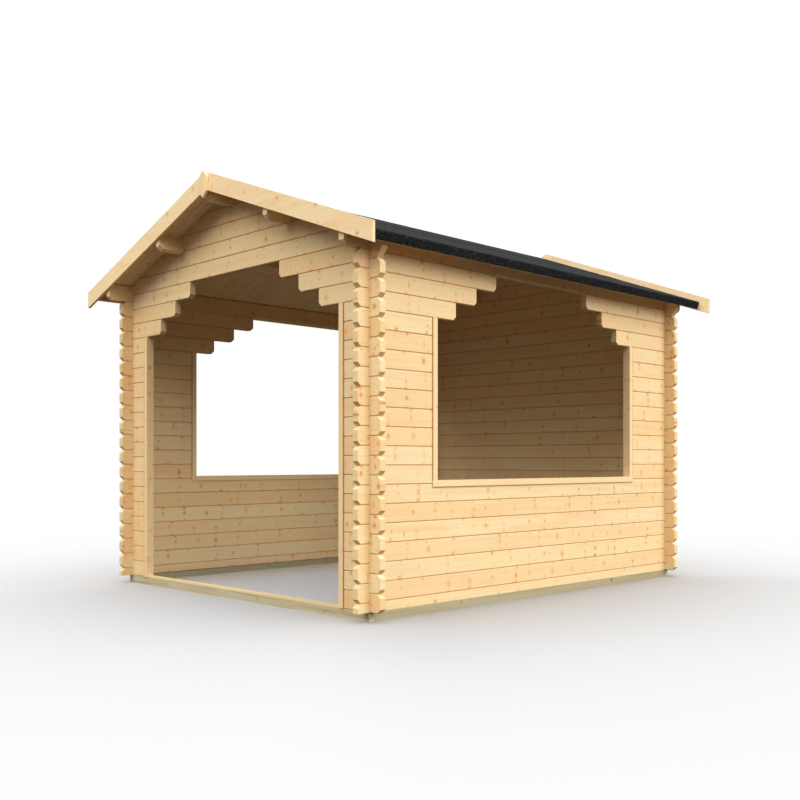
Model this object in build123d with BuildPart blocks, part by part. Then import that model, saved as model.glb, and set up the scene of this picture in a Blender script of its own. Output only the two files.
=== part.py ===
from build123d import *
from math import ceil, cos, radians, sin, tan
import os

# Garden shelter of interlocking logs, in millimetres
# X runs along the gable walls, Y from the doorway to the back, and Z up from the ground.
# Joints in the walls are counted in logs from the bearers up, so a wall may start with half a log.

# Logs and walls
log_thickness = 44
log_pitch = 114
joint_groove = 5  # depth of the bevel on each long edge of a log
wall_width = 2740  # over the outer faces of the side walls
wall_depth = 3310  # over the outer faces of the gable walls
end_overhang = 90  # log ends beyond the wall that they cross
end_chamfer = 25
gable_log_extra = 18  # the first gable log beyond the other log ends
gable_log_chamfer_run = 47
gable_log_chamfer_rise = 57
gable_log_round = 16  # radius between its chamfer and its upright end
bearer_width = 34
bearer_height = 56

# Numbers of logs from the bearers up: the side walls start with half a log
door_log_count = 16  # up to the head of the door jambs
wall_log_count = 19  # up to the first log that spans the doorway
sill_log_count = 6.5
window_log_count = 15.5  # up to the head of the window jambs
plate_log_count = 18.5  # up to the wall plates

# Openings
door_pier = 264  # from the outer face of a side wall to the clear doorway
window_pier = 571  # from the outer face of a gable wall to the clear opening
door_corbel_first = 191  # how far the lowest stepped log reaches into the opening
window_corbel_first = 175
corbel_step = 198

# Grooved boards around the openings
frame_web = 20  # from the clear opening to the log ends
frame_groove = 22  # how far the cheeks reach back over the logs
frame_cheek = 7  # thickness of a cheek on each face of the wall
threshold_thickness = 12

# Roof
roof_pitch = 20.4
gable_overhang = 197  # boards beyond the gable walls
eave_overhang = 150  # boards beyond the side walls
board_thickness = 19
felt_thickness = 3
fascia_thickness = 18
fascia_height = 58
felt_drip = 3  # wood left bare under the folded edge of the felt
barge_thickness = 20
barge_width = 112
barge_upstand = 44  # above the felt
barge_overhang = 82  # beyond the folded felt at the eaves
mid_purlin_run = 699  # from the ridge along the slope
ridge_purlin_depth = 122
purlin_chamfer = 28
plaque_width = 84
plaque_thickness = 20
plaque_shoulder = 98  # height of its straight sides
plaque_upper_point = 41
plaque_lower_point = 43
plaque_rise = 3  # its tip above the mitre of the bargeboards

# Places that follow
wall_mid_y = plaque_thickness / 2  # the plaque reaches further out in front than anything behind
front_y = wall_mid_y - wall_depth / 2
back_y = wall_mid_y + wall_depth / 2
outer_x = wall_width / 2
inner_x = outer_x - log_thickness
tip_x = outer_x + end_overhang
tip_y = wall_depth / 2 + end_overhang
gable_tip_x = tip_x + gable_log_extra
crossing_x = outer_x - log_thickness / 2
crossing_y = wall_depth / 2 - log_thickness / 2
deck_half_length = wall_depth / 2 + gable_overhang
slope = radians(roof_pitch)
door_half_width = outer_x - door_pier
window_half_length = wall_depth / 2 - window_pier
window_log_end = window_half_length + frame_web
door_log_end = door_half_width + frame_web


# Height of a joint
def level(logs):
    return bearer_height + logs * log_pitch


ridge_z = level(plate_log_count + 1) + outer_x * tan(slope)  # underside of the boards
deck_run = (outer_x + eave_overhang) / cos(slope)
fascia_run = deck_run + fascia_thickness
felt_top = board_thickness + felt_thickness
felt_half_width = (fascia_run + felt_thickness) * cos(slope) + felt_top * sin(slope)
barge_tip_x = felt_half_width + barge_overhang
deck_front_y = wall_mid_y - deck_half_length
deck_back_y = wall_mid_y + deck_half_length


# A point of the XZ plane, from its distance down the slope and its height above the underside
def on_slope(run, rise):
    x = run * cos(slope) + rise * sin(slope)
    return (x, ridge_z - run * sin(slope) + rise * cos(slope))


# Height of a plane parallel to the roof, on the ridge line or at a distance from it
def roof_height(x, rise=0):
    return ridge_z - abs(x) * tan(slope) + rise / cos(slope)


# The chamfered ends of the logs between the joints, from the lowest joint up
def log_ends(tip, out, joints):
    back = tip - out * end_chamfer
    points = [(back, level(joints[0]))]
    for low, high in zip(joints, joints[1:]):
        points.append((tip, level(low) + end_chamfer))
        points.append((tip, level(high) - end_chamfer))
        points.append((back, level(high)))
    return points


# The stepped log ends over an opening, each with its lower corner cut off
def corbel_ends(clear, first, out, joints):
    points = []
    for step, low in enumerate(joints[:-1]):
        tip = out * (clear - first - step * corbel_step)
        points.append((tip + out * end_chamfer, level(low)))
        points.append((tip, level(low) + end_chamfer))
        points.append((tip, level(low + 1)))
    return points


# The section of a stack of logs, with a bevelled groove along each joint on both faces
def log_section(near, far, joints):
    face = []
    for low, high in zip(joints, joints[1:]):
        face.append((far - joint_groove, level(low)))
        face.append((far, level(low) + joint_groove))
        face.append((far, level(high) - joint_groove))
    face.append((far - joint_groove, level(joints[-1])))
    opposite = [(near + far - across, z) for across, z in reversed(face)]
    return face + opposite


# Places of the notches in which the logs of the crossing walls lie
def notches(across, joints):
    return [(side * across, level(joint)) for side in (-1, 1) for joint in joints]


# The joints of a stretch of wall, one log apart
def joints_between(first, last):
    return [first + logs for logs in range(round(last - first) + 1)]


# A stack of logs in a gable wall, its front face on front_y, drawn in elevation
def gable_stack(label, outline, joints, cutouts=(), rounded_z=None):
    with BuildPart() as stack:
        with BuildSketch(Plane.XZ.offset(-front_y)) as elevation:
            Polygon(*outline, align=None)
            if rounded_z:
                corners = elevation.vertices().filter_by_position(Axis.Y, rounded_z - 1, rounded_z + 1)
                fillet(corners, radius=gable_log_round)
            with Locations(*notches(crossing_x, joints)):
                Rectangle(log_thickness, log_pitch / 2, mode=Mode.SUBTRACT)
            for cutout in cutouts:
                Polygon(*cutout, align=None, mode=Mode.SUBTRACT)
        extrude(amount=-log_thickness)
        with BuildSketch(Plane.YZ):
            Polygon(*log_section(front_y, front_y + log_thickness, joints), align=None)
        extrude(amount=gable_tip_x, both=True, mode=Mode.INTERSECT)
    stack.part.label = label
    return stack.part


# A stack of logs in the right side wall, drawn in elevation around the middle of the wall
def side_stack(label, outline, joints):
    with BuildPart() as stack:
        with BuildSketch(side_elevation):
            Polygon(*outline, align=None)
            with Locations(*notches(crossing_y, joints)):
                Rectangle(log_thickness, log_pitch / 2, mode=Mode.SUBTRACT)
        extrude(amount=log_thickness)
        with BuildSketch(Plane.XZ.offset(-wall_mid_y)):
            Polygon(*log_section(inner_x, outer_x, joints), align=None)
        extrude(amount=deck_half_length, both=True, mode=Mode.INTERSECT)
    stack.part.label = label
    return stack.part


# A copy on the other side of the building
def mirrored(source, label, plane):
    with BuildPart() as copy:
        mirror(source, about=plane)
    copy.part.label = label
    return copy.part


# A piece that runs along Y with one section
def along_y(label, section, start_y, end_y):
    with BuildPart() as piece:
        with BuildSketch(Plane.XZ.offset(-start_y)):
            Polygon(*section, align=None)
        extrude(amount=start_y - end_y)
    piece.part.label = label
    return piece.part


side_elevation = Plane((inner_x, wall_mid_y, 0), x_dir=(0, 1, 0), z_dir=(1, 0, 0))
middle_plane = Plane.YZ
cross_plane = Plane.XZ.offset(-wall_mid_y)

# Gable walls
pier_joints = joints_between(0, door_log_count)
corbel_joints = joints_between(door_log_count, wall_log_count)
wall_joints = joints_between(0, wall_log_count)
gable_log_count = ceil((ridge_z - level(wall_log_count)) / log_pitch)
top_joints = joints_between(wall_log_count, wall_log_count + gable_log_count)
gable_log_low = level(wall_log_count - 1)
gable_chamfer_top = gable_log_low + gable_log_chamfer_rise
gable_log_end = [
    (gable_tip_x - gable_log_chamfer_run, gable_log_low),
    (gable_tip_x, gable_chamfer_top),
    (gable_tip_x, level(wall_log_count)),
]
half_log = log_thickness / 2
ridge_section = [
    (-half_log, ridge_z - ridge_purlin_depth),
    (half_log, ridge_z - ridge_purlin_depth),
    (half_log, roof_height(half_log)),
    (0, ridge_z),
    (-half_log, roof_height(half_log)),
]
mid_section = [
    on_slope(mid_purlin_run - half_log, 0),
    on_slope(mid_purlin_run + half_log, 0),
    on_slope(mid_purlin_run + half_log, -log_pitch),
    on_slope(mid_purlin_run - half_log, -log_pitch),
]
mid_section_left = [(-x, z) for x, z in mid_section]

pier_outer = log_ends(tip_x, 1, pier_joints)
pier_outline = pier_outer + [(door_log_end, level(door_log_count)), (door_log_end, level(0))]
corbel_outer = log_ends(tip_x, 1, corbel_joints[:-1]) + gable_log_end
corbel_inner = corbel_ends(door_half_width, door_corbel_first, 1, corbel_joints)
wall_outer = log_ends(tip_x, 1, wall_joints[:-1]) + gable_log_end
wall_outline = wall_outer + [(-x, z) for x, z in reversed(wall_outer)]
gable_outline = [
    (-gable_tip_x, level(wall_log_count)),
    (gable_tip_x, level(wall_log_count)),
    (gable_tip_x, roof_height(gable_tip_x)),
    (0, ridge_z),
    (-gable_tip_x, roof_height(gable_tip_x)),
]
gable_cutouts = (ridge_section, mid_section, mid_section_left)

front_right = gable_stack("front_wall_right", pier_outline, pier_joints)
front_corbels = gable_stack(
    "front_corbels_right",
    corbel_outer + corbel_inner[::-1],
    corbel_joints,
    rounded_z=gable_chamfer_top,
)
front_gable = gable_stack("front_gable", gable_outline, top_joints, gable_cutouts)
back_in_front = gable_stack("back_wall", wall_outline, wall_joints, rounded_z=gable_chamfer_top)
pieces = [
    front_right,
    front_corbels,
    front_gable,
    mirrored(back_in_front, "back_wall", cross_plane),
    mirrored(front_gable, "back_gable", cross_plane),
]

# Side walls: the lowest log is sawn in half along its length
lower_joints = joints_between(-0.5, sill_log_count)
side_joints = joints_between(sill_log_count, window_log_count)
side_corbel_joints = joints_between(window_log_count, plate_log_count)
lower_end = [(tip_y, level(0))] + log_ends(tip_y, 1, lower_joints)[2:]
lower_outline = lower_end + [(-y, z) for y, z in reversed(lower_end)]
side_outline = log_ends(tip_y, 1, side_joints)
side_outline += [(window_log_end, level(window_log_count)), (window_log_end, level(sill_log_count))]
side_corbel_inner = corbel_ends(window_half_length, window_corbel_first, 1, side_corbel_joints)
side_corbel_outline = log_ends(tip_y, 1, side_corbel_joints) + side_corbel_inner[::-1]

lower_wall = side_stack("right_wall_lower", lower_outline, lower_joints)
side_back = side_stack("right_wall_back", side_outline, side_joints)
side_front = mirrored(side_back, "right_wall_front", cross_plane)
corbels_back = side_stack("right_corbels_back", side_corbel_outline, side_corbel_joints)
corbels_front = mirrored(corbels_back, "right_corbels_front", cross_plane)

# Wall plates: the top log of a side wall, bevelled to the roof and carried out to the bargeboards
plate_low = level(plate_log_count)
plate_outline = [
    (deck_half_length - purlin_chamfer, plate_low),
    (deck_half_length, plate_low + purlin_chamfer),
    (deck_half_length, roof_height(inner_x)),
]
plate_outline += [(-y, z) for y, z in reversed(plate_outline)]
plate_section = [
    (inner_x + joint_groove, plate_low),
    (outer_x - joint_groove, plate_low),
    (outer_x, plate_low + joint_groove),
    (outer_x, roof_height(outer_x)),
    (inner_x, roof_height(inner_x)),
    (inner_x, plate_low + joint_groove),
]
plate_joints = joints_between(plate_log_count, plate_log_count + 1)
with BuildPart() as plate:
    with BuildSketch(side_elevation):
        Polygon(*plate_outline, align=None)
        with Locations(*notches(crossing_y, plate_joints)):
            Rectangle(log_thickness, log_pitch / 2, mode=Mode.SUBTRACT)
    extrude(amount=log_thickness)
    with BuildSketch(cross_plane):
        Polygon(*plate_section, align=None)
    extrude(amount=deck_half_length, both=True, mode=Mode.INTERSECT)
plate.part.label = "right_wall_plate"

# Bearers: the front and back ones run across, the side ones stand between them
side_bearer_length = wall_depth - 2 * bearer_width
with BuildPart() as cross_bearer:
    with BuildSketch():
        with Locations((0, front_y + bearer_width / 2)):
            Rectangle(wall_width, bearer_width)
    extrude(amount=bearer_height)
cross_bearer.part.label = "front_bearer"
with BuildPart() as side_bearer:
    with BuildSketch():
        with Locations((outer_x - bearer_width / 2, wall_mid_y)):
            Rectangle(bearer_width, side_bearer_length)
    extrude(amount=bearer_height)
side_bearer.part.label = "right_bearer"


# A grooved board: the web lies at the start of the section, the cheeks reach back over the logs
def grooved_board(label, end_plane, length, web_setback=0):
    depth = log_thickness + 2 * frame_cheek
    face = frame_web + frame_groove
    with BuildPart() as board:
        with BuildSketch(end_plane):
            Rectangle(face, depth, align=(Align.MIN, Align.CENTER))
            with Locations((frame_web, 0)):
                Rectangle(
                    frame_groove,
                    log_thickness,
                    align=(Align.MIN, Align.CENTER),
                    mode=Mode.SUBTRACT,
                )
        extrude(amount=length)
        if web_setback:
            with BuildSketch(end_plane):
                Rectangle(face, log_thickness, align=(Align.MIN, Align.CENTER))
            extrude(amount=web_setback, mode=Mode.SUBTRACT)
            with BuildSketch(end_plane.offset(length - web_setback)):
                Rectangle(face, log_thickness, align=(Align.MIN, Align.CENTER))
            extrude(amount=web_setback, mode=Mode.SUBTRACT)
    board.part.label = label
    return board.part


# Frame of the doorway
front_mid_y = front_y + log_thickness / 2
door_foot = Plane((door_half_width, front_mid_y, level(0)), x_dir=(1, 0, 0), z_dir=(0, 0, 1))
door_jamb = grooved_board("right_door_jamb", door_foot, level(door_log_count) - level(0))
with BuildPart() as threshold:
    with BuildSketch(Plane.XY.offset(level(0))):
        with Locations((0, front_mid_y)):
            Rectangle(2 * door_half_width, log_thickness)
    extrude(amount=threshold_thickness)
threshold.part.label = "door_threshold"

# Frame of the right window opening: the cheeks of the sill run on under the jambs
right_mid_x = outer_x - log_thickness / 2
sill_top = level(sill_log_count) + frame_web
sill_half_length = window_log_end + frame_groove
sill_end = Plane(
    (right_mid_x, wall_mid_y - sill_half_length, sill_top), x_dir=(0, 0, -1), z_dir=(0, 1, 0)
)
sill = grooved_board("right_window_sill", sill_end, 2 * sill_half_length, frame_groove)
jamb_foot = Plane(
    (right_mid_x, wall_mid_y + window_half_length, sill_top), x_dir=(0, 1, 0), z_dir=(0, 0, 1)
)
jamb_back = grooved_board("right_window_jamb_back", jamb_foot, level(window_log_count) - sill_top)
jamb_front = mirrored(jamb_back, "right_window_jamb_front", cross_plane)


# A purlin along Y, its lower corners cut off at both ends
def purlin(label, section):
    with BuildPart() as timber:
        with BuildSketch(cross_plane):
            Polygon(*section, align=None)
        extrude(amount=deck_half_length, both=True)
        ends = timber.faces().filter_by(Axis.Y)
        lowest = [end.edges().sort_by(Axis.Z)[0] for end in ends]
        chamfer(lowest, length=purlin_chamfer)
    timber.part.label = label
    return timber.part


ridge_purlin = purlin("ridge_purlin", ridge_section)
mid_purlin = purlin("right_purlin", mid_section)

# Roof boards and the fascia that closes their ends at the eaves
deck_section = [
    (0, ridge_z),
    on_slope(deck_run, 0),
    on_slope(deck_run, board_thickness),
    (0, roof_height(0, board_thickness)),
]
fascia_section = [
    on_slope(deck_run, board_thickness),
    on_slope(fascia_run, board_thickness),
    on_slope(fascia_run, board_thickness - fascia_height),
    on_slope(deck_run, board_thickness - fascia_height),
]
deck = along_y("right_roof_boards", deck_section, deck_front_y, deck_back_y)
fascia = along_y("right_eave_fascia", fascia_section, deck_front_y, deck_back_y)

# Roofing felt: one sheet over both slopes, folded down over the fascias
felt_low = board_thickness - fascia_height + felt_drip
felt_right = [
    (0, roof_height(0, felt_top)),
    on_slope(fascia_run + felt_thickness, felt_top),
    on_slope(fascia_run + felt_thickness, felt_low),
    on_slope(fascia_run, felt_low),
    on_slope(fascia_run, board_thickness),
    (0, roof_height(0, board_thickness)),
]
felt_left = [(-x, z) for x, z in felt_right[1:-1]]
felt = along_y("roof_felt", felt_right + felt_left[::-1], deck_front_y, deck_back_y)

# Bargeboards, mitred upright at the ridge and cut upright at the eaves
barge_top = felt_top + barge_upstand
barge_low = barge_top - barge_width
barge_section = [
    (0, roof_height(0, barge_top)),
    (barge_tip_x, roof_height(barge_tip_x, barge_top)),
    (barge_tip_x, roof_height(barge_tip_x, barge_low)),
    (0, roof_height(0, barge_low)),
]
bargeboard = along_y(
    "front_bargeboard_right", barge_section, deck_front_y - barge_thickness, deck_front_y
)

# Blank pointed plaque over the mitre of the front bargeboards
plaque_tip_z = roof_height(0, barge_top) + plaque_rise
plaque_upper_z = plaque_tip_z - plaque_upper_point
plaque_lower_z = plaque_upper_z - plaque_shoulder
plaque_outline = [
    (0, plaque_tip_z),
    (plaque_width / 2, plaque_upper_z),
    (plaque_width / 2, plaque_lower_z),
    (0, plaque_lower_z - plaque_lower_point),
    (-plaque_width / 2, plaque_lower_z),
    (-plaque_width / 2, plaque_upper_z),
]
plaque_back_y = deck_front_y - barge_thickness
plaque = along_y("apex_plaque", plaque_outline, plaque_back_y - plaque_thickness, plaque_back_y)

pieces += [
    lower_wall,
    side_front,
    side_back,
    corbels_front,
    corbels_back,
    plate.part,
    cross_bearer.part,
    mirrored(cross_bearer.part, "back_bearer", cross_plane),
    side_bearer.part,
    door_jamb,
    threshold.part,
    sill,
    jamb_front,
    jamb_back,
    ridge_purlin,
    mid_purlin,
    deck,
    fascia,
    felt,
    bargeboard,
    mirrored(bargeboard, "back_bargeboard_right", cross_plane),
    plaque,
]

# The left half repeats the right half
for piece in list(pieces):
    if "right" in piece.label:
        pieces.append(mirrored(piece, piece.label.replace("right", "left"), middle_plane))

os.makedirs("parts", exist_ok=True)
for piece in pieces:
    export_step(piece, "parts/" + piece.label + ".step")
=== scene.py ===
import math

import bmesh
import bpy
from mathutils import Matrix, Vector


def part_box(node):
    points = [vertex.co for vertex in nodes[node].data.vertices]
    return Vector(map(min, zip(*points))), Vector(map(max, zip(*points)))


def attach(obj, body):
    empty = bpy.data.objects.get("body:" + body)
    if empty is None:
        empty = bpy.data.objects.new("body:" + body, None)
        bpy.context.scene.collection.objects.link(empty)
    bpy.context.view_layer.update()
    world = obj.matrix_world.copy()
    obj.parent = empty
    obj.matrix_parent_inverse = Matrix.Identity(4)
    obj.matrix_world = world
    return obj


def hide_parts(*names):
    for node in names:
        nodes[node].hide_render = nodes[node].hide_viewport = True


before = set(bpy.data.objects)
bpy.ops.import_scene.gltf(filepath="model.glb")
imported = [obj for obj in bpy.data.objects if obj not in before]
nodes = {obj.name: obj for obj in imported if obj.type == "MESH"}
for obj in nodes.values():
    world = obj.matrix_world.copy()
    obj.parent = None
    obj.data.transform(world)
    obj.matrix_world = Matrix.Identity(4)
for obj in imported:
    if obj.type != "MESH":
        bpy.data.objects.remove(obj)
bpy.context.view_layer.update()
print("frame loaded:", len(nodes), "nodes")

# Sizes of the building in metres, read from the part's own nodes where they show there
building = {
    "logHeight": 0.114,
    "logDepth": 0.044,
    "base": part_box("front_bearer")[1].z,
    "frontY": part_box("front_gable")[0].y,
    "middleY": (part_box("front_gable")[0].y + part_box("back_gable")[1].y) / 2,
    "sideMiddleX": sum(corner.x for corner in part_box("right_wall_plate")) / 2,
    "sillLog": 6.5,  # logs of a side wall above this are divided by its opening
    "gableLog": 18.5,  # logs of the front wall below this are divided by the doorway
    "roofPitch": math.radians(20.4),
    "deckFrontY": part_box("roof_felt")[0].y,
    "deckBackY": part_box("roof_felt")[1].y,
    "deckEdgeX": 1.52,
    "ridgeZ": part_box("ridge_purlin")[1].z,
    "boardThickness": 0.019,
    "fasciaThickness": 0.018,
    "fasciaHeight": 0.058,
}
cosPitch = math.cos(building["roofPitch"])
sinPitch = math.sin(building["roofPitch"])
deckLength = building["deckBackY"] - building["deckFrontY"]


# A wire carries a number, a vector or a colour between nodes; sums on wires add Math nodes
class Wire:
    def __init__(self, graph, socket):
        self.graph = graph
        self.socket = socket

    def __add__(self, other):
        return self.graph.maths("ADD", self, other)

    __radd__ = __add__

    def __mul__(self, other):
        return self.graph.maths("MULTIPLY", self, other)

    __rmul__ = __mul__

    def __sub__(self, other):
        return self.graph.maths("SUBTRACT", self, other)

    def __rsub__(self, other):
        return self.graph.maths("SUBTRACT", other, self)

    def __truediv__(self, other):
        return self.graph.maths("DIVIDE", self, other)

    def __rtruediv__(self, other):
        return self.graph.maths("DIVIDE", other, self)

    def __pow__(self, other):
        return self.graph.maths("POWER", self, other)

    def __rpow__(self, other):
        return self.graph.maths("POWER", other, self)

    def __gt__(self, other):
        return self.graph.maths("GREATER_THAN", self, other)

    def __lt__(self, other):
        return self.graph.maths("LESS_THAN", self, other)

    def __abs__(self):
        return self.graph.maths("ABSOLUTE", self)

    def floor(self):
        return self.graph.maths("FLOOR", self)

    def greater(self, other):
        return self.graph.maths("MAXIMUM", self, other)

    # from 0 at the first value to 1 at the second, smooth between them
    def ramp(self, first, second):
        settings = {"interpolation_type": "SMOOTHSTEP"}
        inputs = {"Value": self, "From Min": first, "From Max": second}
        return self.graph.wire("ShaderNodeMapRange", "Result", settings, inputs)


# The nodes of a material, of the world or of a Geometry Nodes tree
class Graph:
    def __init__(self, tree):
        self.tree = tree
        tree.nodes.clear()

    # the settings are set before the values or the wires of the sockets
    def node(self, kind, settings=None, inputs=None):
        made = self.tree.nodes.new(kind)
        for name, value in (settings or {}).items():
            if name == "stops":
                ramp = made.color_ramp
                while len(ramp.elements) < len(value):
                    ramp.elements.new(0.5)
                for element, (place, colour) in zip(ramp.elements, value):
                    element.position = place
                    element.color = (*colour, 1.0)
            else:
                setattr(made, name, value)
        for name, value in (inputs or {}).items():
            if isinstance(value, Wire):
                self.tree.links.new(value.socket, made.inputs[name])
            else:
                made.inputs[name].default_value = value
        return made

    # the wire from one output of a new node
    def wire(self, kind, output, settings=None, inputs=None):
        return Wire(self, self.node(kind, settings, inputs).outputs[output])

    def maths(self, operation, *values):
        settings = {"operation": operation}
        return self.wire("ShaderNodeMath", 0, settings, dict(enumerate(values)))

    def vector(self, x, y, z):
        return self.wire("ShaderNodeCombineXYZ", 0, {}, {"X": x, "Y": y, "Z": z})

    def split(self, vector, kind="ShaderNodeSeparateXYZ"):
        made = self.node(kind, {}, {0: vector})
        return [Wire(self, socket) for socket in made.outputs[:3]]


class Shader(Graph):
    def __init__(self, owner):
        owner.use_nodes = True
        super().__init__(owner.node_tree)
        self.owner = owner

    # where the point lies in the object, in metres
    def place(self):
        return self.split(self.wire("ShaderNodeTexCoord", "Object"))

    def noise(self, at, detail=3.0):
        inputs = {"Vector": at, "Scale": 1.0, "Detail": detail, "Roughness": 0.5}
        return self.wire("ShaderNodeTexNoise", "Fac", {}, inputs)

    # three chance numbers from 0 to 1 for each whole-number cell
    def chances(self, x, y, z):
        settings = {"noise_dimensions": "3D"}
        inputs = {"Vector": self.vector(x, y, z)}
        colour = self.wire("ShaderNodeTexWhiteNoise", "Color", settings, inputs)
        return self.split(colour, "ShaderNodeSeparateColor")

    def colours(self, value, stops):
        return self.wire("ShaderNodeValToRGB", "Color", {"stops": stops}, {"Fac": value})

    def blend(self, factor, first, second):
        settings = {"data_type": "RGBA", "clamp_factor": True}
        inputs = {"Factor": factor}
        for socket, colour in ((6, first), (7, second)):
            inputs[socket] = colour if isinstance(colour, Wire) else (*colour, 1.0)
        return self.wire("ShaderNodeMix", 2, settings, inputs)

    # more holds any other inputs of the Principled BSDF
    def finish(self, colour, roughness, height=None, bumpDepth=0.001, gloss=0.3, more=None):
        inputs = {"Base Color": colour, "Roughness": roughness, "Specular IOR Level": gloss}
        inputs.update(more or {})
        if height is not None:
            bump = {"Height": height, "Distance": bumpDepth}
            inputs["Normal"] = self.wire("ShaderNodeBump", "Normal", {}, bump)
        surface = self.wire("ShaderNodeBsdfPrincipled", "BSDF", {}, inputs)
        self.node("ShaderNodeOutputMaterial", {}, {"Surface": surface})
        return self.owner


# Spruce, planed and bare: pale yellow, a little pinker or paler from log to log
spruce = {
    "tints": [
        (0.00, (0.845, 0.675, 0.385)),
        (0.30, (0.835, 0.635, 0.340)),
        (0.65, (0.835, 0.612, 0.322)),
        (1.00, (0.810, 0.568, 0.275)),
    ],
    "pink": (0.860, 0.540, 0.275),
    "amber": (0.800, 0.560, 0.210),
    "halo": (0.800, 0.500, 0.200),
    "latewood": (0.700, 0.450, 0.190),
    "knot": (0.690, 0.310, 0.095),
    "knotHeart": (0.470, 0.180, 0.055),
    "ringWidth": 0.0055,
    "roughness": 0.62,
    "streaks": 0.30,
    "stains": 0.45,
    # colour of the painted shade in joints and along edges
    "joint": (0.50, 0.23, 0.085),
    "knotLayers": [
        # pairs of knots, one above the other
        {"length": 0.21, "rise": 0.057, "radius": 0.0120, "tall": 0.7, "share": 0.70},
        # long spikes where a branch was cut lengthwise
        {"length": 0.41, "rise": 0.114, "radius": 0.0055, "tall": 4.5, "share": 0.45},
        # pin knots
        {"length": 0.085, "rise": 0.038, "radius": 0.0048, "tall": 0.5, "share": 0.24},
    ],
}

# Straight clear wood of the frames round the openings
clear = dict(
    spruce,
    tints=[(0.0, (0.885, 0.665, 0.370)), (1.0, (0.875, 0.635, 0.338))],
    pink=(0.885, 0.585, 0.305),
)

# Paler wood of the bargeboards, with a livelier grain and few knots
sawn = dict(
    spruce,
    tints=[(0.0, (0.945, 0.745, 0.450)), (1.0, (0.940, 0.705, 0.390))],
    pink=(0.940, 0.620, 0.330),
    amber=(0.900, 0.590, 0.220),
    latewood=(0.840, 0.560, 0.260),
    knot=(0.680, 0.270, 0.090),
    streaks=0.50,
    stains=0.85,
    knotLayers=[
        {"length": 0.36, "rise": 0.110, "radius": 0.0100, "tall": 0.3, "share": 0.50},
        {"length": 0.23, "rise": 0.070, "radius": 0.0055, "tall": 0.6, "share": 0.30},
    ],
)

# Warm wood of the plaque
rosy = dict(spruce, tints=[(0.0, (0.970, 0.700, 0.400)), (1.0, (0.970, 0.700, 0.400))])

# Softwood treated against rot: greenish and dull, with dark knots
treated = dict(
    spruce,
    tints=[(0.0, (0.530, 0.445, 0.285)), (1.0, (0.600, 0.515, 0.340))],
    pink=(0.550, 0.410, 0.230),
    amber=(0.400, 0.370, 0.190),
    halo=(0.380, 0.330, 0.150),
    latewood=(0.310, 0.280, 0.140),
    knot=(0.160, 0.125, 0.055),
    knotHeart=(0.050, 0.040, 0.020),
    roughness=0.85,
    streaks=0.75,
    stains=0.80,
    knotLayers=[
        {"length": 0.55, "rise": 0.060, "radius": 0.0110, "tall": 0.4, "share": 0.60},
        {"length": 0.31, "rise": 0.050, "radius": 0.0050, "tall": 2.5, "share": 0.30},
    ],
)

# The same wood, darker, under the side walls
treatedSide = dict(
    treated,
    tints=[(0.0, (0.390, 0.330, 0.205)), (1.0, (0.450, 0.388, 0.248))],
    pink=(0.420, 0.320, 0.175),
)

# Knots: each has a cell of its layer's length and rise
knots = {
    "firstPlace": 0.3,  # along its cell, as a share of the length
    "placeRange": 0.4,
    "slip": 0.016,  # one above the other they are out of line by up to half of this
    "liftRange": 0.4,
    "smallest": 0.55,
    "sizeRange": 0.75,
    "wobble": 0.7,  # of the outline, in radii
    "wobbleRepeats": (130.0, 90.0),  # a metre, along and up
    "spot": (1.5, 0.3),  # in radii, from where it begins to where it is full
    "halo": (3.2, 0.7),
    "heart": (0.8, 0.1),
    "faintest": 0.45,
    "softShare": 0.15,
    "heartAbove": 0.6,  # only the strongest have a dark heart
    "rowNumbers": 10.0,  # between the chances of one row of cells and of the next
    "middleRow": 50.5,
}


# Knots of one layer: how far each point is into a spot, its halo and its dark heart
def knotLayer(shader, along, up, board, number, layer):
    column = (along / layer["length"]).floor()
    row = (up / layer["rise"] + 0.5).floor()
    place, shape, force = shader.chances(column, board, number + 0.5)
    cell = row * knots["rowNumbers"] + number + knots["middleRow"]
    shift, lift, lot = shader.chances(column, board, cell)
    across = along / layer["length"] - column - knots["firstPlace"] - place * knots["placeRange"]
    across = across * layer["length"] + (shift - 0.5) * knots["slip"]
    height = (up / layer["rise"] - row - (lift - 0.5) * knots["liftRange"]) * layer["rise"]
    height = height / (1.0 + shape * shape * layer["tall"])
    radius = layer["radius"] * (knots["smallest"] + knots["sizeRange"] * shift)
    alongScale, upScale = knots["wobbleRepeats"]
    at = shader.vector(along * alongScale, up * upScale, board)
    wobble = (shader.noise(at, detail=1.0) - 0.5) * knots["wobble"]
    reach = (across * across + height * height) ** 0.5 / radius + wobble
    rarest = 1.0 - layer["share"]
    strength = knots["faintest"] + (1.0 - knots["faintest"]) * force
    there = lot.ramp(rarest, rarest + knots["softShare"]) * strength
    return [
        reach.ramp(*knots["spot"]) * there,
        reach.ramp(*knots["halo"]) * there,
        reach.ramp(*knots["heart"]) * there * (force > knots["heartAbove"]),
    ]


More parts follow.
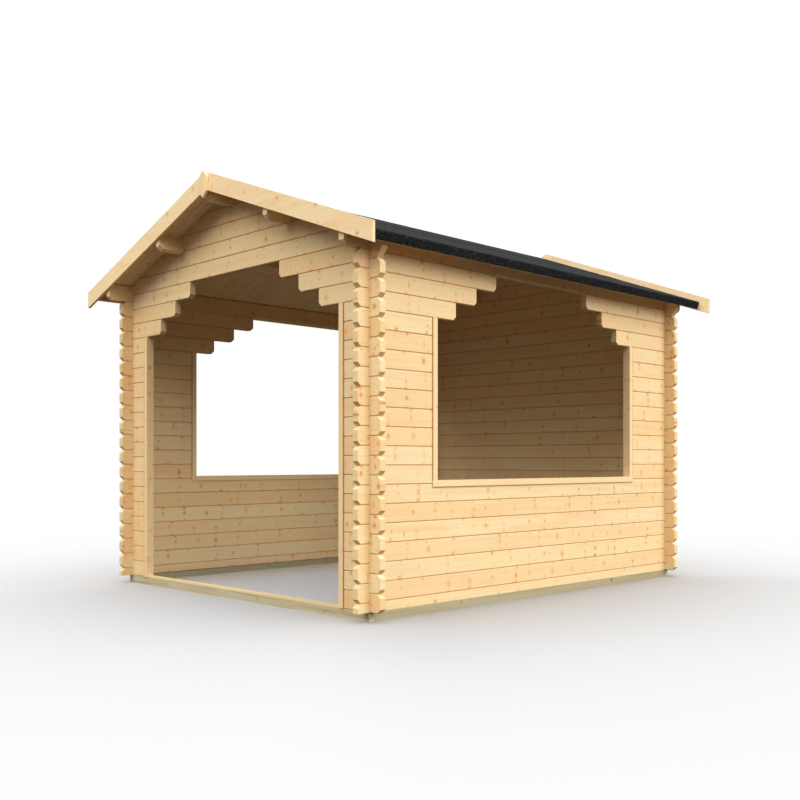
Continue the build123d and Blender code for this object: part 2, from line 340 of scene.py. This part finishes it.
# Grain, the same in every wood: lengths in metres, shares from 0 to 1
grain = {
    "boardShift": 37.0,  # boards start up to this far along the pattern
    "heartUp": 0.14,  # range of the places of the tree's heart, beside the board
    "heartDepth": 0.045,
    "heartRange": 0.06,
    "wander": 0.06,  # of the heart along the board
    "wanderRepeats": (0.8, 3.7),  # a metre along, and from board to board
    "ringBend": 0.005,  # round a knot
    "ringJitter": 1.2,  # in ring widths
    "jitterRepeats": (2.5, 120.0),  # a metre, along and across the rings
    "latewoodFrom": (0.35, 0.90),  # of a ring's width, slow and then sudden
    "latewoodTo": (1.00, 0.92),
    "ringShare": 0.16,
    "fibreShare": 0.10,
    "haloShare": 0.30,
    "knotShare": 0.85,
    "knotHeartShare": 0.55,
    "leastBlush": 0.15,
    "blushRange": 0.80,
    "ringRise": 0.30,  # rises are shares of the depth of the bumps
    "fibreRise": 0.35,
    "knotSink": 0.30,
    "bumpDepth": 0.0005,
    "fibreRoughness": 0.12,
    "knotSmoothness": 0.12,
}

# Each pattern repeats so often a metre along, up and through the board, changes from board
# to board, and shows between two values of its noise
patterns = {
    "fibres": {"repeats": (8.0, 600.0, 600.0), "change": 0.0, "detail": 2.0, "shows": (0.40, 0.80)},
    "streaks": {"repeats": (1.7, 48.0, 48.0), "change": 1.0, "detail": 3.0, "shows": (0.40, 0.85)},
    "blush": {"repeats": (1.3, 16.0, 9.0), "change": 5.1, "detail": 2.0, "shows": (0.40, 0.72)},
    "stains": {"repeats": (7.0, 22.0, 9.0), "change": 2.3, "detail": 2.0, "shows": (0.60, 0.78)},
}


# The grain of a board, log or post: along, up and through are metres in it, board its number
def woodGrain(shader, along, up, through, board, look, knotty):
    chance, second, third = shader.chances(board, 0.5, 0.5)
    along = along + chance * grain["boardShift"]
    layers = [
        knotLayer(shader, along, up, board, number, layer)
        for number, layer in enumerate(look["knotLayers"])
    ]
    strongest = layers[0]
    for others in layers[1:]:
        strongest = [one.greater(other) for one, other in zip(strongest, others)]
    spot, halo, heart = [part * knotty for part in strongest]

    # growth rings round a heart that lies somewhere beside the board, bent round the knots
    alongScale, boardScale = grain["wanderRepeats"]
    at = shader.vector(along * alongScale, board * boardScale, 0.0)
    wander = (shader.noise(at, detail=2.0) - 0.5) * grain["wander"]
    ringUp = up - (second - 0.5) * grain["heartUp"] + wander
    ringThrough = through + grain["heartDepth"] + third * grain["heartRange"]
    ring = (ringUp * ringUp + ringThrough * ringThrough) ** 0.5 + halo * grain["ringBend"]
    alongScale, ringScale = grain["jitterRepeats"]
    at = shader.vector(along * alongScale, ring * ringScale, board)
    jitter = shader.noise(at, detail=2.0) * grain["ringJitter"]
    band = shader.maths("FRACT", ring / look["ringWidth"] + jitter)
    latewood = band.ramp(*grain["latewoodFrom"]) * band.ramp(*grain["latewoodTo"])

    # the noise of a pattern, and how much of it shows
    def pattern(name):
        made = patterns[name]
        alongScale, upScale, throughScale = made["repeats"]
        upPlace = up * upScale + board * made["change"]
        at = shader.vector(along * alongScale, upPlace, through * throughScale)
        noise = shader.noise(at, detail=made["detail"])
        return noise, noise.ramp(*made["shows"])

    fibres, shownFibres = pattern("fibres")
    blush, stains, streaks = [pattern(name)[1] for name in ("blush", "stains", "streaks")]
    colour = shader.colours(chance, look["tints"])
    for share, name in (
        (blush * (grain["leastBlush"] + third * grain["blushRange"]), "pink"),
        (stains * look["stains"], "amber"),
        (streaks * look["streaks"], "latewood"),
        (latewood * grain["ringShare"], "latewood"),
        (shownFibres * grain["fibreShare"], "latewood"),
        (halo * grain["haloShare"], "halo"),
        (spot * grain["knotShare"], "knot"),
        (heart * grain["knotHeartShare"], "knotHeart"),
    ):
        colour = shader.blend(share, colour, look[name])
    height = latewood * grain["ringRise"] + fibres * grain["fibreRise"] - spot * grain["knotSink"]
    roughness = look["roughness"] + fibres * grain["fibreRoughness"]
    return colour, roughness - spot * grain["knotSmoothness"], height


# coordinates gives the place in the board, and how much painted shade the point has, in a joint or
# along an edge
def woodMaterial(name, coordinates, look, knotty=1.0):
    shader = Shader(bpy.data.materials.new(name))
    along, up, through, board, gap = coordinates(shader, *shader.place())
    colour, roughness, height = woodGrain(shader, along, up, through, board, look, knotty)
    if gap is not None:
        # painted shade: darker in joints and along edges
        colour = shader.blend(gap, colour, look["joint"])
    return shader.finish(colour, roughness, height, bumpDepth=grain["bumpDepth"])


# Each board has a number, which decides its tint, its grain and its knots
firstBoard = {
    "side logs": 0.5,
    "gable logs": 200.5,
    "bargeboards": 403.5,
    "fascias": 411.5,
    "roof boards": 500.5,
    "timbers": 701.5,
    "window sills": 721.5,
    "threshold": 741.5,
    "plaque": 743.5,
    "front bearers": 751.5,
    "side bearers": 761.5,
    "window jambs": 781.5,
    "door jambs": 791.5,
}

# Logs: painted shade in their joints, and a little painted shade on faces that look down,
# as under the chamfers of their ends
logs = {
    "stretchNumbers": 40.0,  # between the logs of one stretch of wall and of the next
    "jointFrom": 0.0042,  # from the edge of a log, where the dark begins and where it is full
    "jointTo": 0.0016,
    "joint": 0.58,
    "underside": 0.32,
    "facingDown": -0.4,
}


def logPaintedShade(shader, up):
    edge = building["logHeight"] / 2
    # painted shade in the grooves between logs
    joint = abs(up).ramp(edge - logs["jointFrom"], edge - logs["jointTo"]) * logs["joint"]
    normal = shader.split(shader.wire("ShaderNodeNewGeometry", "Normal"))
    # and painted shade on faces that look down
    return joint.greater((normal[2] < logs["facingDown"]) * logs["underside"])


# Logs of the side walls: half a log starts the wall, and each pier has logs of its own
def sideLogs(shader, x, y, z):
    count = (z - building["base"]) / building["logHeight"] + 0.5
    log = count.floor()
    up = (count - log - 0.5) * building["logHeight"]
    through = abs(x) - building["sideMiddleX"]
    stretch = (x > 0.0) * 2.0 + (y > building["middleY"]) * (log > building["sillLog"])
    board = log + firstBoard["side logs"] + stretch * logs["stretchNumbers"]
    return y, up, through, board, logPaintedShade(shader, up)


# Logs of the front and back walls: the doorway divides those below the gable
def gableLogs(shader, x, y, z):
    count = (z - building["base"]) / building["logHeight"]
    log = count.floor()
    up = (count - log - 0.5) * building["logHeight"]
    back = y > building["middleY"]
    middle = building["middleY"] - building["frontY"] - building["logDepth"] / 2
    through = abs(y - building["middleY"]) - middle
    stretch = back * 2.0 + (x > 0.0) * (log < building["gableLog"]) * (1.0 - back)
    board = log + firstBoard["gable logs"] + stretch * logs["stretchNumbers"]
    return x, up, through, board, logPaintedShade(shader, up)


# Roof slopes: down is the way down the slope from the ridge, out the way out of it
def slope(x, z):
    down = abs(x) * cosPitch - (z - building["ridgeZ"]) * sinPitch
    out = abs(x) * sinPitch + (z - building["ridgeZ"]) * cosPitch
    return down, out


# Roof boards, tongued and laid side by side down each slope
roofBoards = {
    "count": 40,
    "thickness": 0.0187,
    "chamfer": 0.0011,
    "gap": 0.0006,
    "jointFrom": 0.0030,
    "jointTo": 0.0012,
    "joint": 0.4,
    "slopeNumbers": 60.0,
}
roofBoardWidth = deckLength / roofBoards["count"]


def roofBoardPlaces(shader, x, y, z):
    down, out = slope(x, z)
    count = (y - building["deckFrontY"]) / roofBoardWidth
    board = count.floor()
    across = (count - board - 0.5) * roofBoardWidth
    edge = roofBoardWidth / 2
    # painted shade along the joints between the boards
    gap = abs(across).ramp(edge - roofBoards["jointFrom"], edge - roofBoards["jointTo"])
    board = board + (x > 0.0) * roofBoards["slopeNumbers"] + firstBoard["roof boards"]
    return down, across, out, board, gap * roofBoards["joint"]


# Purlins and wall plates: the plates have painted shade where they meet the roof boards
timbers = {"spacing": 0.30, "plateFrom": 1.2, "plateShadeFrom": -0.0140, "plateShadeTo": -0.0080, "dark": 0.9}


def lyingTimbers(shader, x, y, z):
    down, out = slope(x, z)
    number = (x / timbers["spacing"]).floor()
    # painted shade along the tops of the wall plates, under the boards
    dark = out.ramp(timbers["plateShadeFrom"], timbers["plateShadeTo"])
    dark = dark * (abs(x) > timbers["plateFrom"]) * timbers["dark"]
    return y, z - number * timbers["spacing"], x, number + firstBoard["timbers"], dark


# Frames: painted shade along the edge where they lie on the logs
frameEdgeShade = {"from": 0.0055, "to": 0.0022, "dark": 0.80}


def paintedEdgeShade(distance):
    return distance.ramp(frameEdgeShade["from"], frameEdgeShade["to"]) * frameEdgeShade["dark"]


def windowSills(shader, x, y, z):
    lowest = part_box("right_window_sill")[0].z
    return y, x, z, (x > 0.0) + firstBoard["window sills"], paintedEdgeShade(z - lowest)


def windowJambs(shader, x, y, z):
    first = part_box("right_window_jamb_front")[0].y
    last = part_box("right_window_jamb_back")[1].y
    middle, reach = (first + last) / 2, (last - first) / 2
    board = (x > 0.0) + (y > middle) * 2.0 + firstBoard["window jambs"]
    return z, y - x, x + y, board, paintedEdgeShade(reach - abs(y - middle))


def doorJambs(shader, x, y, z):
    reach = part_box("right_door_jamb")[1].x
    return z, x + y, x - y, (x > 0.0) + firstBoard["door jambs"], paintedEdgeShade(reach - abs(x))


# Boards without a joint: where the middle of their grain lies
grainMiddles = {"fasciaOut": -0.01, "thresholdY": -1.62, "bearerZ": 0.028}


# the grain of the bargeboards lies level, aslant in the board
def bargeboards(shader, x, y, z):
    return abs(x), z, y, (x > 0.0) + (y > 0.0) * 2.0 + firstBoard["bargeboards"], None


def fascias(shader, x, y, z):
    down, out = slope(x, z)
    return y, out - grainMiddles["fasciaOut"], down, (x > 0.0) + firstBoard["fascias"], None


def threshold(shader, x, y, z):
    return x, y - grainMiddles["thresholdY"], z, firstBoard["threshold"], None


def plaqueWood(shader, x, y, z):
    return z, x, y, firstBoard["plaque"], None


def frontBearers(shader, x, y, z):
    return x, z - grainMiddles["bearerZ"], y, (y > 0.0) + firstBoard["front bearers"], None


def sideBearers(shader, x, y, z):
    return y, z - grainMiddles["bearerZ"], x, (x > 0.0) + firstBoard["side bearers"], None


# Roofing felt: bitumen strewn with dark mineral grains, which lie in clumps
feltLook = {
    "dark": (0.0045, 0.0045, 0.0048),
    "pale": (0.042, 0.043, 0.044),
    "grain": 0.0030,
    "grainPower": 4.0,  # the higher, the fewer grains are pale
    "grainShare": 0.5,
    "clumps": 95.0,  # a metre
    "clumpsShow": (0.50, 0.68),
    "clumpShare": 0.9,
    "patches": 2.5,
    "leastPatch": 0.5,
    "patchRange": 0.9,
    "clumpRise": 0.7,
    "grainRise": 0.5,
    "bumpDepth": 0.0015,
    "grainSmoothness": 0.12,
    "gloss": 0.12,
}


def feltMaterial(name):
    shader = Shader(bpy.data.materials.new(name))
    x, y, z = shader.place()

    def scaled(times):
        return shader.vector(x * times, y * times, z * times)

    inputs = {"Vector": scaled(1.0 / feltLook["grain"]), "Scale": 1.0}
    grains = shader.node("ShaderNodeTexVoronoi", {}, inputs)
    distance, colours = [Wire(shader, grains.outputs[name]) for name in ("Distance", "Color")]
    shade = shader.split(colours, "ShaderNodeSeparateColor")[0]
    patches = shader.noise(scaled(feltLook["patches"]), detail=4.0)
    clumps = shader.noise(scaled(feltLook["clumps"]), detail=3.0)
    pale = clumps.ramp(*feltLook["clumpsShow"]) * feltLook["clumpShare"]
    pale = shade ** feltLook["grainPower"] * feltLook["grainShare"] + pale
    pale = pale * (feltLook["leastPatch"] + patches * feltLook["patchRange"])
    colour = shader.blend(pale, feltLook["dark"], feltLook["pale"])
    roughness = 1.0 - shade * feltLook["grainSmoothness"]
    height = clumps * feltLook["clumpRise"] - distance * feltLook["grainRise"]
    depth, gloss = feltLook["bumpDepth"], feltLook["gloss"]
    return shader.finish(colour, roughness, height, bumpDepth=depth, gloss=gloss)


def dress(material, *names):
    for name in names:
        mesh = nodes[name].data
        mesh.materials.clear()
        mesh.materials.append(material)


def both(*names):
    return [side + "_" + name for side in ("left", "right") for name in names]


dress(
    woodMaterial("side wall logs", sideLogs, spruce),
    *both("wall_lower", "wall_front", "wall_back", "corbels_front", "corbels_back"),
)
dress(
    woodMaterial("gable wall logs", gableLogs, spruce),
    "front_wall_left", "front_wall_right", "front_corbels_left", "front_corbels_right",
    "front_gable", "back_wall", "back_gable",
)
dress(
    woodMaterial("purlin and plate wood", lyingTimbers, spruce),
    "ridge_purlin", *both("purlin", "wall_plate"),
)
dress(
    woodMaterial("bargeboard wood", bargeboards, sawn),
    "front_bargeboard_left", "front_bargeboard_right",
    "back_bargeboard_left", "back_bargeboard_right",
)
dress(woodMaterial("fascia wood", fascias, spruce), *both("eave_fascia"))
dress(
    woodMaterial("window jamb wood", windowJambs, clear, knotty=0.3),
    *both("window_jamb_front", "window_jamb_back"),
)
dress(woodMaterial("window sill wood", windowSills, clear, knotty=0.15), *both("window_sill"))
dress(woodMaterial("door jamb wood", doorJambs, clear, knotty=0.7), *both("door_jamb"))
dress(woodMaterial("threshold wood", threshold, spruce, knotty=0.2), "door_threshold")
dress(woodMaterial("plaque wood", plaqueWood, rosy, knotty=0.0), "apex_plaque")
dress(woodMaterial("front bearer wood", frontBearers, treated), "front_bearer", "back_bearer")
dress(woodMaterial("side bearer wood", sideBearers, treatedSide), *both("bearer"))
roofBoardWood = woodMaterial("roof board wood", roofBoardPlaces, spruce)
feltSurface = feltMaterial("felt with mineral grains")
print("materials made")


class Geometry(Graph):
    def __init__(self, name, kinds):
        super().__init__(bpy.data.node_groups.new(name, "GeometryNodeTree"))
        sockets = self.tree.interface
        sockets.new_socket("Mesh", in_out="OUTPUT", socket_type="NodeSocketGeometry")
        self.identifiers = {}
        for name, kind in kinds.items():
            made = sockets.new_socket(name, in_out="INPUT", socket_type="NodeSocket" + kind)
            self.identifiers[name] = made.identifier
        entry = self.node("NodeGroupInput")
        self.given = {name: Wire(self, entry.outputs[name]) for name in kinds}

    def finish(self, mesh, material):
        mesh = self.wire("GeometryNodeRealizeInstances", 0, {}, {"Geometry": mesh})
        inputs = {"Geometry": mesh, "Material": material}
        mesh = self.wire("GeometryNodeSetMaterial", 0, {}, inputs)
        self.node("NodeGroupOutput", {}, {"Mesh": mesh})


# Boards side by side down a slope, each with its lower edges chamfered and its top end cut
# upright at the ridge
def boardGeometry():
    kinds = {
        "Boards": "Int",
        "Length": "Float",
        "Width": "Float",
        "Thickness": "Float",
        "Chamfer": "Float",
        "Gap": "Float",
        "Pitch": "Float",
        "Turn": "Float",
        "First": "Vector",
        "Wood": "Material",
    }
    graph = Geometry("boards down a slope", kinds)
    given = graph.given
    size = graph.vector(given["Length"], 1.0, given["Thickness"])
    inputs = {"Size": size, "Vertices X": 2, "Vertices Y": 4, "Vertices Z": 2}
    plank = graph.wire("GeometryNodeMeshCube", "Mesh", {}, inputs)
    x, y, z = graph.split(graph.wire("GeometryNodeInputPosition", 0))

    # the cube is a metre wide, so its outer edges lie past 0.3 of it, and its inner ones before
    outer = abs(y) > 0.3
    below = z < 0.0
    head = x < 0.0
    edge = given["Width"] * 0.5 - given["Gap"] * 0.5
    inset = edge - given["Chamfer"]
    newZ = z + outer * below * given["Chamfer"] + given["Thickness"] * 0.5
    mitre = newZ * graph.maths("TANGENT", given["Pitch"]) * head
    newX = x + given["Length"] * 0.5 + mitre
    newY = (inset + outer * (edge - inset)) * graph.maths("SIGN", y)
    inputs = {"Geometry": plank, "Position": graph.vector(newX, newY, newZ)}
    board = graph.wire("GeometryNodeSetPosition", 0, {}, inputs)
    tilt = graph.vector(0.0, given["Pitch"], 0.0)
    turn = graph.vector(0.0, 0.0, given["Turn"])
    for rotation in (tilt, turn):
        inputs = {"Geometry": board, "Rotation": rotation}
        board = graph.wire("GeometryNodeTransform", 0, {}, inputs)
    inputs = {
        "Count": given["Boards"],
        "Start Location": given["First"],
        "Offset": graph.vector(0.0, given["Width"], 0.0),
    }
    row = graph.wire("GeometryNodeMeshLine", 0, {}, inputs)
    inputs = {"Points": row, "Instance": board}
    boards = graph.wire("GeometryNodeInstanceOnPoints", 0, {}, inputs)
    graph.finish(boards, given["Wood"])
    return graph


def plainMesh(name, graph, values):
    holder = bpy.data.objects.new(name, bpy.data.meshes.new(name + " start"))
    bpy.context.scene.collection.objects.link(holder)
    modifier = holder.modifiers.new("boards", "NODES")
    modifier.node_group = graph.tree
    for key, value in values.items():
        modifier[graph.identifiers[key]] = value
    ready = holder.evaluated_get(bpy.context.evaluated_depsgraph_get())
    mesh = bpy.data.meshes.new_from_object(ready)
    holder.modifiers.remove(modifier)
    holder.data = mesh
    return holder


boardsDownSlope = boardGeometry()
for side, turn in (("left", math.pi), ("right", 0.0)):
    laid = plainMesh(
        side + "_roof_boards_laid",
        boardsDownSlope,
        {
            "Boards": roofBoards["count"],
            "Length": building["deckEdgeX"] / cosPitch,
            "Width": roofBoardWidth,
            "Thickness": roofBoards["thickness"],
            "Chamfer": roofBoards["chamfer"],
            "Gap": roofBoards["gap"],
            "Pitch": building["roofPitch"],
            "Turn": turn,
            "First": (0.0, building["deckFrontY"] + roofBoardWidth / 2, building["ridgeZ"]),
            "Wood": roofBoardWood,
        },
    )
    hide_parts(side + "_roof_boards")
    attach(laid, "root")
print("roof boards laid:", roofBoards["count"], "on each slope")

# Felt: a strip along each eave, bent down over the fascia, and one over the ridge that laps
# over both. Ends and places are down the slope from the ridge
felt = {
    "thickness": 0.003,
    "eaveStripEnd": 0.72,
    "ridgeStripEnd": 0.80,
    "middle": 1.1,
    "nearRidge": 0.35,
    "lapEase": 0.06,  # length in which the ridge strip climbs onto the eave strip
    "lapFlat": 0.006,
    "lapGap": 0.0003,
    "pressed": (0.5, 0.7),  # shares of the thickness at the lap
    "bend": 0.006,
    "bendRound": 0.3,
    "bareEdge": 0.003,  # of the fascia under the folded edge
    "segments": 48,
    "wave": 0.0005,
    "waveTurns": (1.7, 2.3),  # radians from one segment to the next, along and down
}


def onSlope(down, out, side):
    x = down * cosPitch + out * sinPitch
    z = building["ridgeZ"] - down * sinPitch + out * cosPitch
    return side * x, z


# a strip of felt from one gable to the other, from its outline across
def feltStrip(shape, outline):
    rings = []
    length = deckLength / felt["segments"]
    alongTurn, downTurn = felt["waveTurns"]
    for step in range(felt["segments"] + 1):
        y = building["deckFrontY"] + step * length
        inner = 0 < step < felt["segments"]
        ring = []
        for number, (x, z) in enumerate(outline):
            wave = math.sin(step * alongTurn + number * downTurn) if inner else 0.0
            ring.append(shape.verts.new((x, y, z + felt["wave"] * max(wave, 0.0))))
        rings.append(ring)
    for first, second in zip(rings, rings[1:]):
        for number in range(len(outline)):
            following = (number + 1) % len(outline)
            corners = (first[number], first[following], second[following], second[number])
            shape.faces.new(corners)
    shape.faces.new(rings[0][::-1])
    shape.faces.new(rings[-1])


# the outline of an eave strip from the points of its underside
def eaveOutline(points, side):
    lower = [Vector(point) for point in points]
    upper = []
    for number, point in enumerate(lower):
        before = lower[max(number - 1, 0)]
        after = lower[min(number + 1, len(lower) - 1)]
        run = (after - before).normalized()
        upper.append(point + Vector((-run.y, run.x)) * felt["thickness"])
    loop = lower + upper[::-1]
    if side < 0:
        loop = loop[::-1]
    return [onSlope(down, out, side) for down, out in loop]


deckOut = building["boardThickness"]
fasciaDown = building["deckEdgeX"] / cosPitch + building["fasciaThickness"]
foldOut = deckOut - building["fasciaHeight"] + felt["bareEdge"]
bend, bendRound = felt["bend"], felt["bend"] * felt["bendRound"]
eaveStrip = [
    (felt["eaveStripEnd"], deckOut),
    (felt["middle"], deckOut),
    (fasciaDown - bend, deckOut),
    (fasciaDown - bendRound, deckOut - bendRound),
    (fasciaDown, deckOut - bend),
    (fasciaDown, foldOut),
]
lapped = deckOut + felt["thickness"] + felt["lapGap"]
# place down the slope, height of the underside and share of the thickness
ridgeStrip = [
    (felt["ridgeStripEnd"], lapped, felt["pressed"][0]),
    (felt["eaveStripEnd"] - felt["lapFlat"], lapped, felt["pressed"][1]),
    (felt["eaveStripEnd"] - felt["lapEase"], deckOut, 1.0),
    (felt["nearRidge"], deckOut, 1.0),
]


# a line over the ridge from one end of the strip to the other, this thick above its underside
def overRidge(lift):
    left = [onSlope(down, out + lift * share, -1) for down, out, share in ridgeStrip]
    peak = (0.0, building["ridgeZ"] + (deckOut + lift) / cosPitch)
    return left + [peak] + [(-x, z) for x, z in left[::-1]]


feltShape = bmesh.new()
for side in (-1, 1):
    feltStrip(feltShape, eaveOutline(eaveStrip, side))
feltStrip(feltShape, overRidge(0.0) + overRidge(felt["thickness"])[::-1])
bmesh.ops.recalc_face_normals(feltShape, faces=feltShape.faces)
feltMesh = bpy.data.meshes.new("roofing_felt_strips")
feltShape.to_mesh(feltMesh)
feltShape.free()
feltMesh.materials.append(feltSurface)
feltStrips = bpy.data.objects.new("roofing_felt_strips", feltMesh)
bpy.context.scene.collection.objects.link(feltStrips)
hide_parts("roof_felt")
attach(feltStrips, "root")
print("felt laid")

# Stage: a pale plain floor and a white backdrop all round; both are there for the camera
# alone, so that no light comes back up from them
stage = {
    "radius": 60.0,
    "backdropRadius": 59.4,
    "floor": (0.938, 0.950, 0.966),
    "roughness": 0.95,
    # painted shade round the walls: its colour, its amount and how fast it fades
    "shade": (0.0, 0.03, 0.07),
    "shadeAllRound": 0.09,
    "shadeRight": 0.27,  # in front of the wall that the lamp lights most
    "rightFrom": -0.5,  # from the diagonal through its corner, in metres
    "rightTo": 0.7,
    "shadeFade": 0.35,  # what is left of it a metre away
    # a painted contact shadow close to the walls
    "contactShadow": 0.12,
    "contactShadowFade": 0.0015,
    "innerEdge": -0.02,  # the floor between the walls begins so far in
    # a painted cool tint between the walls
    "inside": (0.50, 0.85, 1.0),  # against the warm light there
    "insideShare": 0.13,
    "haze": 0.045,
    "backdrop": 1.0,
}
white = (1.0, 1.0, 1.0, 1.0)


def stagePiece(name, build, material):
    shape = bmesh.new()
    build(shape)
    mesh = bpy.data.meshes.new(name)
    shape.to_mesh(mesh)
    shape.free()
    mesh.materials.append(material)
    piece = bpy.data.objects.new(name, mesh)
    for ray in ("diffuse", "glossy", "transmission", "volume_scatter", "shadow"):
        setattr(piece, "visible_" + ray, False)
    bpy.context.scene.collection.objects.link(piece)
    return piece


def floorShape(shape):
    bmesh.ops.create_circle(shape, cap_ends=True, segments=64, radius=stage["radius"])


def backdropShape(shape):
    radius = stage["backdropRadius"]
    bmesh.ops.create_uvsphere(shape, u_segments=64, v_segments=24, radius=radius)


# Painted shade: the floor is darker round the walls, against the light that the wood throws on it
def floorWithPaintedShade(shader):
    x, y, z = shader.place()
    front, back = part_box("front_bearer"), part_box("back_bearer")
    halfWidth = front[1].x
    middle = (front[0].y + back[1].y) / 2
    halfDepth = (back[1].y - front[0].y) / 2
    across = abs(x) - halfWidth
    along = abs(y - middle) - halfDepth
    outX, outY = across.greater(0.0), along.greater(0.0)
    distance = (outX * outX + outY * outY) ** 0.5
    right = (x - halfWidth - along).ramp(stage["rightFrom"], stage["rightTo"])
    wide = stage["shadeFade"] ** distance
    wide = wide * (right * stage["shadeRight"] + stage["shadeAllRound"])
    # painted contact shadow
    close = stage["contactShadowFade"] ** distance * stage["contactShadow"]
    outside = across.greater(along) > stage["innerEdge"]
    # painted cool tint between the walls, against the warm light there
    inside = (1.0 - outside) * stage["insideShare"]
    colour = shader.blend(inside, stage["floor"], stage["inside"])
    return shader.blend((wide + close) * outside, colour, stage["shade"])


floorShader = Shader(bpy.data.materials.new("floor"))
haze = {"Emission Color": white, "Emission Strength": stage["haze"]}
floorSurface = floorShader.finish(
    floorWithPaintedShade(floorShader), stage["roughness"], gloss=0.0, more=haze
)
floorPiece = stagePiece("floor", floorShape, floorSurface)
backdropShader = Shader(bpy.data.materials.new("backdrop"))
glow = backdropShader.wire("ShaderNodeEmission", 0, {}, {"Strength": stage["backdrop"]})
backdropShader.node("ShaderNodeOutputMaterial", {}, {"Surface": glow})
stagePiece("backdrop", backdropShape, backdropShader.owner)

# Light: a soft sky, brightest overhead, and two broad lamps, on the right and in front,
# that are shaded off the floor
lights = {
    "overhead": 1.10,
    "above": 0.28,
    "below": 0.105,
    "lamps": [
        {"name": "right", "power": 2.90, "spread": 60, "heading": 101, "height": 34},
        {"name": "front", "power": 1.77, "spread": 45, "heading": -2, "height": 37},
    ],
}
world = bpy.data.worlds.new("studio")
bpy.context.scene.world = world
sky = Shader(world)
rise = sky.split(sky.wire("ShaderNodeTexCoord", "Generated"))[2]
level = rise.greater(0.0) * lights["overhead"] + lights["below"]
level = level + (rise > 0.0) * (lights["above"] - lights["below"])
glow = sky.wire("ShaderNodeBackground", 0, {}, {"Color": white, "Strength": level})
sky.node("ShaderNodeOutputWorld", {}, {"Surface": glow})
shadedOff = bpy.data.collections.new("shaded off the lamps")
shadedOff.objects.link(floorPiece)
shadedOff.collection_objects[0].light_linking.link_state = "EXCLUDE"
for setting in lights["lamps"]:
    lamp = bpy.data.lights.new(setting["name"], "SUN")
    lamp.energy = setting["power"]
    lamp.angle = math.radians(setting["spread"])
    lampObject = bpy.data.objects.new(setting["name"], lamp)
    heading, height = math.radians(setting["heading"]), math.radians(setting["height"])
    towards = Vector((math.sin(heading), -math.cos(heading), math.tan(height)))
    lampObject.rotation_euler = towards.to_track_quat("Z", "Y").to_euler()
    lampObject.light_linking.receiver_collection = shadedOff
    bpy.context.scene.collection.objects.link(lampObject)
bpy.context.scene.view_settings.view_transform = "Standard"

# Camera: where the photograph was taken from
view = {
    "at": (5.5633, -5.5264, 0.9298),
    "heading": 45.49,
    "sensor": 36.0,
    "lens": 44.33,
    "shift": (0.0013, 0.0776),
}
camera = bpy.data.cameras.new("camera")
camera.sensor_width = view["sensor"]
camera.lens = view["lens"]
camera.shift_x, camera.shift_y = view["shift"]
cameraObject = bpy.data.objects.new("camera", camera)
cameraObject.location = view["at"]
cameraObject.rotation_euler = (math.radians(90), 0.0, math.radians(view["heading"]))
bpy.context.scene.collection.objects.link(cameraObject)
bpy.context.scene.camera = cameraObject
print("stage, light and camera ready")
